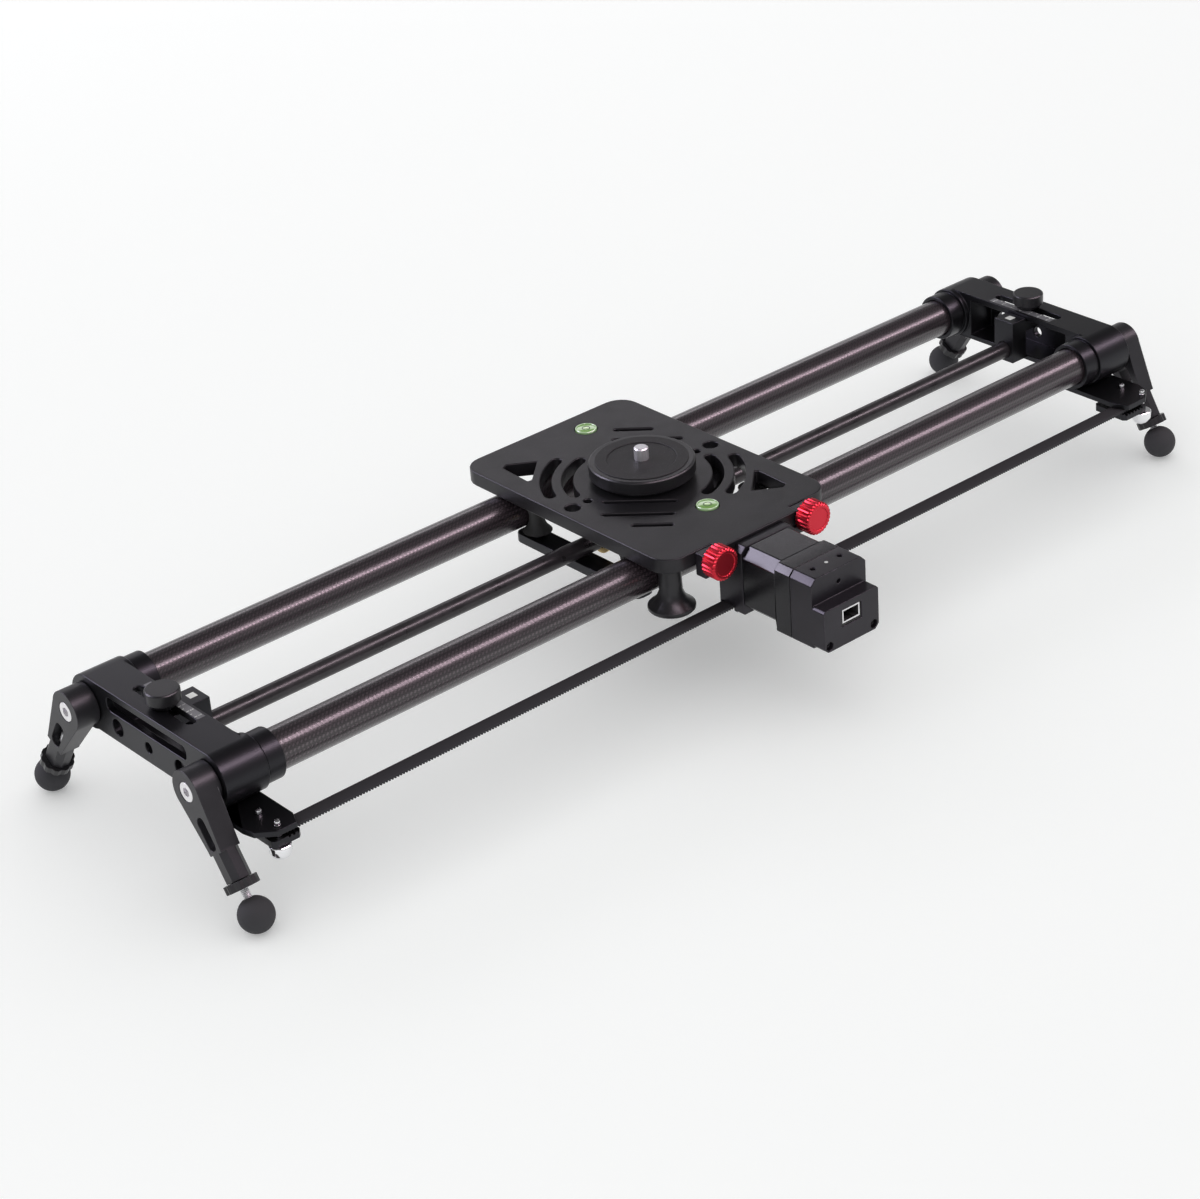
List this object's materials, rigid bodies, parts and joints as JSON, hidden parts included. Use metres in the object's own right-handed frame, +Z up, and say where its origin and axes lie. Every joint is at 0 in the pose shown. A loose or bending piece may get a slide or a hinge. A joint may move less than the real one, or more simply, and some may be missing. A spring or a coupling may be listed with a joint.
{
  "type": "motorised camera slider",
  "caption": "Belt-driven camera slider: carbon rails in end brackets on folding legs, a carriage with a pan turntable steered by an offset guide rod.",
  "frame": {"origin": "centre of the footprint box, on the floor the four ball feet stand on", "axes": "+X along the rails, +Y to the back, away from the motor, +Z up"},
  "size_m": [0.779, 0.2942, 0.1156],
  "materials": {
    "carbon": "twill carbon fibre under clear coat",
    "dark_rod": "smooth carbon rod, satin",
    "black_anodised": "black anodised, fine bead blast",
    "belt_rubber": "matt",
    "ball_rubber": "smooth, dull",
    "bright_steel": "bright",
    "chrome_nut": "polished",
    "red_anodised": "red anodised, fluted edge",
    "level_acrylic": "clear over green liquid",
    "black_plastic": "moulded",
    "silver_anodised": "clear anodised",
    "brass": "machined"
  },
  "bodies": {
    "frame": {"carbon_tube_front": "carbon", "carbon_tube_back": "carbon", "end_bracket_left": "black_anodised", "end_bracket_right": "black_anodised", "belt_plate_left": "black_anodised", "belt_plate_right": "black_anodised", "belt_clamp_left": "black_anodised", "belt_clamp_right": "black_anodised", "drive_belt": "belt_rubber", "leg_bolt_front_left": "bright_steel", "leg_bolt_front_right": "bright_steel", "leg_bolt_back_left": "bright_steel", "leg_bolt_back_right": "bright_steel"},
    "rod": {"guide_rod": "dark_rod", "rod_carrier_left": "black_anodised", "rod_carrier_right": "black_anodised"},
    "offset_knob_left": {"offset_knob_left": "black_anodised"},
    "offset_knob_right": {"offset_knob_right": "black_anodised"},
    "belt_nut_left": {"belt_nut_left": "chrome_nut"},
    "belt_nut_right": {"belt_nut_right": "chrome_nut"},
    "carriage": {"carriage_plate": "black_anodised", "level_front": "level_acrylic", "level_back": "level_acrylic", "cross_bar_left": "black_anodised", "cross_bar_right": "black_anodised", "motor_mount": "black_anodised", "motor_body": "black_anodised", "end_cover": "black_anodised", "data_jack": "black_plastic", "belt_loop": "belt_rubber"},
    "turntable": {"turntable": "black_anodised", "pan_arm": "black_anodised"},
    "head_screw": {"head_screw": "bright_steel"},
    "rod_follower": {"rod_follower": "brass"},
    "lock_knob": {"lock_knob": "black_anodised"},
    "thumb_screw_left": {"thumb_screw_left": "red_anodised"},
    "thumb_screw_right": {"thumb_screw_right": "red_anodised"},
    "drive_pulley": {"drive_pulley": "silver_anodised"},
    "idler_left": {"idler_left": "bright_steel"},
    "idler_right": {"idler_right": "bright_steel"},
    "roller_front_left": {"roller_front_left": "black_plastic"},
    "roller_front_right": {"roller_front_right": "black_plastic"},
    "roller_back_left": {"roller_back_left": "black_plastic"},
    "roller_back_right": {"roller_back_right": "black_plastic"},
    "leg_front_left": {"leg_front_left": "black_anodised"},
    "lock_nut_front_left": {"lock_nut_front_left": "black_anodised"},
    "foot_front_left": {"foot_screw_front_left": "bright_steel", "ball_foot_front_left": "ball_rubber"},
    "leg_front_right": {"leg_front_right": "black_anodised"},
    "lock_nut_front_right": {"lock_nut_front_right": "black_anodised"},
    "foot_front_right": {"foot_screw_front_right": "bright_steel", "ball_foot_front_right": "ball_rubber"},
    "leg_back_left": {"leg_back_left": "black_anodised"},
    "lock_nut_back_left": {"lock_nut_back_left": "black_anodised"},
    "foot_back_left": {"foot_screw_back_left": "bright_steel", "ball_foot_back_left": "ball_rubber"},
    "leg_back_right": {"leg_back_right": "black_anodised"},
    "lock_nut_back_right": {"lock_nut_back_right": "black_anodised"},
    "foot_back_right": {"foot_screw_back_right": "bright_steel", "ball_foot_back_right": "ball_rubber"}
  },
  "joints": [
    {"name": "carriage_travel", "type": "slide", "parent": "frame", "child": "carriage", "axis": [1, 0, 0], "range_m": [-0.263, 0.2585]},
    {"name": "rod_offset", "type": "slide", "parent": "frame", "child": "rod", "axis": [0, 1, 0], "range_m": [-0.012, 0.012]},
    {"name": "offset_knob_turn_left", "type": "hinge", "parent": "rod", "child": "offset_knob_left", "pos_m": [-0.3555, 0.0342, 0.0976], "axis": [0, 0, 1], "range_deg": [-360, 360]},
    {"name": "belt_nut_turn_left", "type": "hinge", "parent": "frame", "child": "belt_nut_left", "pos_m": [-0.3555, -0.067, 0.0396], "axis": [0, 0, 1], "range_deg": [-360, 360]},
    {"name": "offset_knob_turn_right", "type": "hinge", "parent": "rod", "child": "offset_knob_right", "pos_m": [0.3555, 0.0342, 0.0976], "axis": [0, 0, 1], "range_deg": [-360, 360]},
    {"name": "belt_nut_turn_right", "type": "hinge", "parent": "frame", "child": "belt_nut_right", "pos_m": [0.3555, -0.067, 0.0396], "axis": [0, 0, 1], "range_deg": [-360, 360]},
    {"name": "pan", "type": "hinge", "parent": "carriage", "child": "turntable", "pos_m": [0.0023, 0.0342, 0.1026], "axis": [0, 0, 1], "range_deg": [-22.5, 22.5]},
    {"name": "head_screw_turn", "type": "hinge", "parent": "turntable", "child": "head_screw", "pos_m": [0.0023, 0.0342, 0.1106], "axis": [0, 0, 1], "range_deg": [-360, 360]},
    {"name": "follower_pivot", "type": "hinge", "parent": "turntable", "child": "rod_follower", "pos_m": [-0.0287, 0.0342, 0.0786], "axis": [0, 0, 1], "range_deg": [-22.5, 22.5]},
    {"name": "lock_knob_turn", "type": "hinge", "parent": "carriage", "child": "lock_knob", "pos_m": [-0.0513, -0.0488, 0.0726], "axis": [0, 0, 1], "range_deg": [-180, 180]},
    {"name": "thumb_screw_turn_left", "type": "hinge", "parent": "carriage", "child": "thumb_screw_left", "pos_m": [-0.0361, -0.0758, 0.0908], "axis": [0, 1, 0], "range_deg": [-360, 360]},
    {"name": "thumb_screw_turn_right", "type": "hinge", "parent": "carriage", "child": "thumb_screw_right", "pos_m": [0.0407, -0.0758, 0.0908], "axis": [0, 1, 0], "range_deg": [-360, 360]},
    {"name": "roller_spin_front_left", "type": "hinge", "parent": "carriage", "child": "roller_front_left", "pos_m": [-0.0497, -0.0093, 0.0726], "axis": [0, 0, 1], "continuous": true},
    {"name": "roller_spin_front_right", "type": "hinge", "parent": "carriage", "child": "roller_front_right", "pos_m": [0.0543, -0.0093, 0.0726], "axis": [0, 0, 1], "continuous": true},
    {"name": "roller_spin_back_left", "type": "hinge", "parent": "carriage", "child": "roller_back_left", "pos_m": [-0.0497, 0.0777, 0.0726], "axis": [0, 0, 1], "continuous": true},
    {"name": "roller_spin_back_right", "type": "hinge", "parent": "carriage", "child": "roller_back_right", "pos_m": [0.0543, 0.0777, 0.0726], "axis": [0, 0, 1], "continuous": true},
    {"name": "pulley_spin", "type": "hinge", "parent": "carriage", "child": "drive_pulley", "pos_m": [0.0023, -0.0641, 0.07085], "axis": [0, 1, 0], "continuous": true},
    {"name": "idler_spin_left", "type": "hinge", "parent": "carriage", "child": "idler_left", "pos_m": [-0.0119, -0.0641, 0.0568], "axis": [0, 1, 0], "continuous": true},
    {"name": "idler_spin_right", "type": "hinge", "parent": "carriage", "child": "idler_right", "pos_m": [0.0165, -0.0641, 0.0568], "axis": [0, 1, 0], "continuous": true},
    {"name": "leg_fold_front_left", "type": "hinge", "parent": "frame", "child": "leg_front_left", "pos_m": [-0.3777, -0.0268, 0.0726], "axis": [1, 0, 0], "range_deg": [-55, 30]},
    {"name": "lock_nut_turn_front_left", "type": "hinge", "parent": "leg_front_left", "child": "lock_nut_front_left", "pos_m": [-0.3789, -0.06032, 0.02551], "axis": [0, -0.5799, -0.8147], "range_deg": [-360, 360]},
    {"name": "foot_height_front_left", "type": "slide", "parent": "leg_front_left", "child": "foot_front_left", "axis": [0, -0.5799, -0.8147], "range_m": [-0.0048, 0.0064]},
    {"name": "leg_fold_front_right", "type": "hinge", "parent": "frame", "child": "leg_front_right", "pos_m": [0.3777, -0.0268, 0.0726], "axis": [1, 0, 0], "range_deg": [-55, 30]},
    {"name": "lock_nut_turn_front_right", "type": "hinge", "parent": "leg_front_right", "child": "lock_nut_front_right", "pos_m": [0.3789, -0.05665, 0.0231], "axis": [0, -0.5164, -0.8564], "range_deg": [-360, 360]},
    {"name": "foot_height_front_right", "type": "slide", "parent": "leg_front_right", "child": "foot_front_right", "axis": [0, -0.5164, -0.8564], "range_m": [-0.0011, 0.0101]},
    {"name": "leg_fold_back_left", "type": "hinge", "parent": "frame", "child": "leg_back_left", "pos_m": [-0.3777, 0.0952, 0.0726], "axis": [1, 0, 0], "range_deg": [-30, 55]},
    {"name": "lock_nut_turn_back_left", "type": "hinge", "parent": "leg_back_left", "child": "lock_nut_back_left", "pos_m": [-0.3789, 0.12724, 0.0245], "axis": [0, 0.5545, -0.8322], "range_deg": [-360, 360]},
    {"name": "foot_height_back_left", "type": "slide", "parent": "leg_back_left", "child": "foot_back_left", "axis": [0, 0.5545, -0.8322], "range_m": [-0.0032, 0.008]},
    {"name": "leg_fold_back_right", "type": "hinge", "parent": "frame", "child": "leg_back_right", "pos_m": [0.3777, 0.0952, 0.0726], "axis": [1, 0, 0], "range_deg": [-30, 55]},
    {"name": "lock_nut_turn_back_right", "type": "hinge", "parent": "leg_back_right", "child": "lock_nut_back_right", "pos_m": [0.3789, 0.12724, 0.0245], "axis": [0, 0.5545, -0.8322], "range_deg": [-360, 360]},
    {"name": "foot_height_back_right", "type": "slide", "parent": "leg_back_right", "child": "foot_back_right", "axis": [0, 0.5545, -0.8322], "range_m": [-0.0032, 0.008]}
  ],
  "couplings": [
    {"joint": "pan", "follows": "rod_offset", "rad_per_m": -32.258},
    {"joint": "follower_pivot", "follows": "rod_offset", "rad_per_m": 32.258},
    {"joint": "roller_spin_front_left", "follows": "carriage_travel", "rad_per_m": -212.77},
    {"joint": "roller_spin_front_right", "follows": "carriage_travel", "rad_per_m": -212.77},
    {"joint": "roller_spin_back_left", "follows": "carriage_travel", "rad_per_m": 212.77},
    {"joint": "roller_spin_back_right", "follows": "carriage_travel", "rad_per_m": 212.77},
    {"joint": "pulley_spin", "follows": "carriage_travel", "rad_per_m": -142.86},
    {"joint": "idler_spin_left", "follows": "carriage_travel", "rad_per_m": 200},
    {"joint": "idler_spin_right", "follows": "carriage_travel", "rad_per_m": 200}
  ]
}
